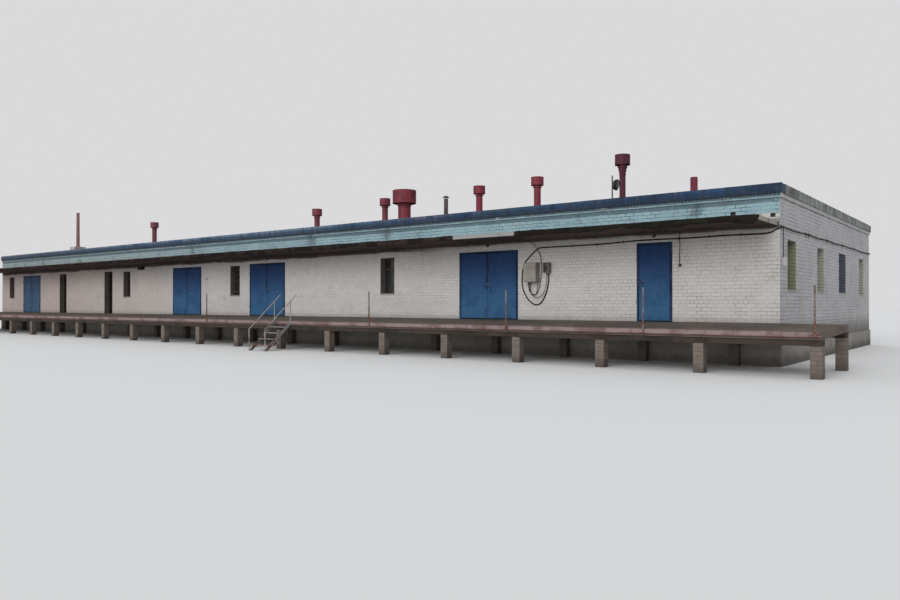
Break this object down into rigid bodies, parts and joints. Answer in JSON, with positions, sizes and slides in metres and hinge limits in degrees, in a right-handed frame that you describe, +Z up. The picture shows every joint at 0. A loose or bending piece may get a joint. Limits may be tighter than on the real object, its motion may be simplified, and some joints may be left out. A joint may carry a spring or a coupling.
{
  "type": "single-storey brick factory building, 1:2 scale model",
  "caption": "Long low brick factory building at half size, with a loading platform, concrete canopy, blue steel doors that open and red roof vents.",
  "frame": {"origin": "on the ground, in the middle of the rectangle that the building, its platform and its stair cover", "axes": "+X to the right along the platform front, +Y from the platform into the building, +Z up"},
  "size_m": [25.58, 8.8343, 3.799],
  "materials": {
    "foundation_concrete": "rough cast concrete blocks",
    "white_brick": "weathered white paint on sand-lime brick",
    "blue_green_brick": "weathered turquoise paint on brick",
    "floor_concrete": "trowelled concrete",
    "roofing": "bitumen felt on concrete slabs",
    "coping_blue": "blue painted sheet steel, uneven",
    "coping_zinc": "weathered zinc-coated sheet steel",
    "canopy_concrete": "damp mossy concrete",
    "platform_concrete": "worn dirty concrete",
    "beam_concrete": "damp stained concrete",
    "edge_steel": "faded red primer on rolled steel",
    "pier_brick": "plastered brick piers",
    "rail_steel": "grey painted steel pipe",
    "stair_steel": "worn grey painted steel",
    "door_blue": "blue painted sheet steel",
    "timber": "dark weathered timber",
    "window_glass": "dusty tinted glass",
    "sill_concrete": "painted concrete",
    "grate_steel": "dark rusty steel",
    "vent_red": "red primer on sheet steel",
    "plaster": "old plaster on brick",
    "lamp_steel": "grey painted steel",
    "box_paint": "grey painted steel",
    "cable_rubber": "black cable sheath",
    "lamp_glass": "white porcelain lamp"
  },
  "bodies": {
    "building": {"foundation": "foundation_concrete", "base_wall": "white_brick", "floor_slab": "floor_concrete", "front_wall_1": "white_brick", "front_wall_2": "white_brick", "front_wall_3": "white_brick", "front_wall_4": "white_brick", "front_wall_5": "white_brick", "front_wall_6": "white_brick", "front_wall_7": "white_brick", "front_wall_8": "white_brick", "front_upper_wall": "blue_green_brick", "back_wall": "white_brick", "left_end_wall": "white_brick", "right_end_wall": "white_brick", "cornice": "blue_green_brick", "roof_slab": "roofing", "front_coping": "coping_blue", "rear_coping": "coping_zinc", "canopy": "canopy_concrete", "deck_slabs": "platform_concrete", "deck_edge": "edge_steel", "deck_beams": "beam_concrete", "deck_piers": "pier_brick", "deck_posts": "rail_steel", "stair": "stair_steel", "stair_rails": "rail_steel", "door_frames": "door_blue", "doorway_frames": "timber", "window_frames": "timber", "window_glass": "window_glass", "window_sills": "sill_concrete", "wall_grate": "grate_steel", "roof_vents": "vent_red", "big_vent": "vent_red", "tall_vent": "vent_red", "flue": "vent_red", "flue_base": "plaster", "roof_pipes": "vent_red", "floodlight": "lamp_steel", "meter_boxes": "box_paint", "wall_cables": "cable_rubber", "door_lamps": "lamp_glass"},
    "side_door": {"side_door": "door_blue"},
    "dock_door_1_left": {"dock_door_1_left": "door_blue"},
    "dock_door_1_right": {"dock_door_1_right": "door_blue"},
    "dock_door_2_left": {"dock_door_2_left": "door_blue"},
    "dock_door_2_right": {"dock_door_2_right": "door_blue"},
    "dock_door_3_left": {"dock_door_3_left": "door_blue"},
    "dock_door_3_right": {"dock_door_3_right": "door_blue"},
    "dock_door_4_left": {"dock_door_4_left": "door_blue"},
    "dock_door_4_right": {"dock_door_4_right": "door_blue"}
  },
  "joints": [
    {"name": "side_door_hinge", "type": "hinge", "parent": "building", "child": "side_door", "pos_m": [10.5475, -2.3316, 0.574], "axis": [0, 0, 1], "range_deg": [0, 100]},
    {"name": "dock_door_1_left_hinge", "type": "hinge", "parent": "building", "child": "dock_door_1_left", "pos_m": [6.8545, -2.3316, 0.574], "axis": [0, 0, -1], "range_deg": [0, 100]},
    {"name": "dock_door_1_right_hinge", "type": "hinge", "parent": "building", "child": "dock_door_1_right", "pos_m": [7.9815, -2.3316, 0.574], "axis": [0, 0, 1], "range_deg": [0, 100]},
    {"name": "dock_door_2_left_hinge", "type": "hinge", "parent": "building", "child": "dock_door_2_left", "pos_m": [1.0665, -2.3316, 0.574], "axis": [0, 0, -1], "range_deg": [0, 100]},
    {"name": "dock_door_2_right_hinge", "type": "hinge", "parent": "building", "child": "dock_door_2_right", "pos_m": [2.1935, -2.3316, 0.574], "axis": [0, 0, 1], "range_deg": [0, 100]},
    {"name": "dock_door_3_left_hinge", "type": "hinge", "parent": "building", "child": "dock_door_3_left", "pos_m": [-1.9515, -2.3316, 0.574], "axis": [0, 0, -1], "range_deg": [0, 100]},
    {"name": "dock_door_3_right_hinge", "type": "hinge", "parent": "building", "child": "dock_door_3_right", "pos_m": [-0.8245, -2.3316, 0.574], "axis": [0, 0, 1], "range_deg": [0, 100]},
    {"name": "dock_door_4_left_hinge", "type": "hinge", "parent": "building", "child": "dock_door_4_left", "pos_m": [-10.3735, -2.3316, 0.574], "axis": [0, 0, -1], "range_deg": [0, 100]},
    {"name": "dock_door_4_right_hinge", "type": "hinge", "parent": "building", "child": "dock_door_4_right", "pos_m": [-9.2465, -2.3316, 0.574], "axis": [0, 0, 1], "range_deg": [0, 100]}
  ]
}
